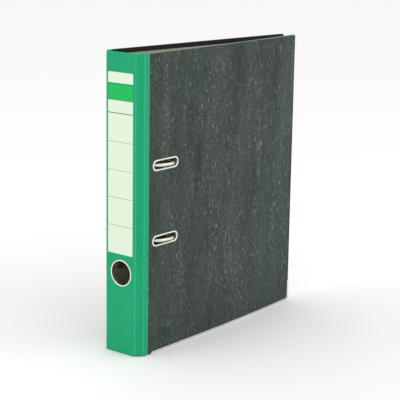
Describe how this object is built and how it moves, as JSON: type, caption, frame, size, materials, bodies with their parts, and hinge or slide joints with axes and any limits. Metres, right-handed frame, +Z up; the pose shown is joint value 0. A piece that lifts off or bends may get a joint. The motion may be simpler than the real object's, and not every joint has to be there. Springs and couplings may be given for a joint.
{
  "type": "lever arch file",
  "caption": "Upright lever arch file: hinged boards, spine with label and finger ring, slotted front cover, and an arch mechanism with lever and compressor bar inside.",
  "frame": {"origin": "middle of the spine's foot, on the surface the file stands on", "axes": "+Z up, the spine's outer face looks to -Y, the covers run back along +Y, the front cover is on the +X side"},
  "size_m": [0.0597, 0.2782, 0.318],
  "materials": {
    "greyboard": "grey board, matte",
    "green_cover": "laminated green covering, satin",
    "marbled_paper": "grey cloud marbled paper, satin",
    "lining": "smooth off-white paper",
    "label": "printed paper label, ruled, no lettering",
    "nickel": "bright nickel plate",
    "nickel_wire": "bright nickel-plated wire",
    "plated_sheet": "nickel-plated pressed sheet",
    "spring_steel": "spring steel strip",
    "roller_plastic": "white nylon",
    "black_plastic": "black moulded plastic"
  },
  "bodies": {
    "back_cover": {"back_board": "greyboard", "back_paper": "marbled_paper", "back_lining": "lining", "back_band": "green_cover", "back_rail": "nickel", "base_plate": "plated_sheet", "base_rivets": "nickel", "post_upper": "nickel_wire", "post_lower": "nickel_wire", "arch_straps": "plated_sheet", "lever_bearing": "plated_sheet", "lever_pin": "nickel", "lift_spring": "spring_steel"},
    "back_strip": {"back_strip_board": "greyboard", "back_strip_cover": "green_cover", "back_strip_lining": "lining"},
    "spine": {"spine_board": "greyboard", "spine_cover": "green_cover", "spine_lining": "lining", "spine_label": "label", "thumb_ring": "nickel"},
    "front_strip": {"front_strip_board": "greyboard", "front_strip_cover": "green_cover", "front_strip_lining": "lining"},
    "front_cover": {"front_board": "greyboard", "front_paper": "marbled_paper", "front_lining": "lining", "front_band": "green_cover", "front_rail": "nickel", "slot_eyelet_upper": "nickel", "slot_eyelet_lower": "nickel"},
    "arches": {"arch_bracket": "nickel_wire"},
    "lever": {"lever": "plated_sheet", "roller_pin": "nickel"},
    "roller": {"lever_roller": "roller_plastic"},
    "compressor": {"compressor_bar": "plated_sheet", "bar_bushes": "black_plastic"}
  },
  "joints": [
    {"name": "back_cover_crease", "type": "hinge", "parent": "back_cover", "child": "back_strip", "pos_m": [-0.02675, 0.00705, 0.159], "axis": [0, 0, -1], "range_deg": [0, 90]},
    {"name": "back_spine_crease", "type": "hinge", "parent": "back_strip", "child": "spine", "pos_m": [-0.01945, -0.0012, 0.159], "axis": [0, 0, -1], "range_deg": [0, 48]},
    {"name": "front_spine_crease", "type": "hinge", "parent": "spine", "child": "front_strip", "pos_m": [0.01945, -0.0012, 0.159], "axis": [0, 0, -1], "range_deg": [0, 48]},
    {"name": "front_cover_crease", "type": "hinge", "parent": "front_strip", "child": "front_cover", "pos_m": [0.02675, 0.00705, 0.159], "axis": [0, 0, -1], "range_deg": [0, 90]},
    {"name": "arch_swing", "type": "hinge", "parent": "back_cover", "child": "arches", "pos_m": [-0.01908, 0.02733, 0.1619], "axis": [0, 0, -1], "range_deg": [0, 31.1]},
    {"name": "lever_swing", "type": "hinge", "parent": "back_cover", "child": "lever", "pos_m": [-0.01154, 0.04461, 0.1619], "axis": [0, 0, 1], "range_deg": [0, 70.1]},
    {"name": "roller_spin", "type": "hinge", "parent": "lever", "child": "roller", "pos_m": [-0.01007, 0.0369, 0.1619], "axis": [0, 0, 1], "continuous": true},
    {"name": "bar_slide", "type": "slide", "parent": "back_cover", "child": "compressor", "axis": [0.994, -0.1097, 0], "range_m": [0, 0.027]}
  ],
  "couplings": [
    {"joint": "arch_swing", "follows": "front_spine_crease", "ratio": 0.64583},
    {"joint": "lever_swing", "follows": "front_spine_crease", "ratio": 1.4583}
  ]
}
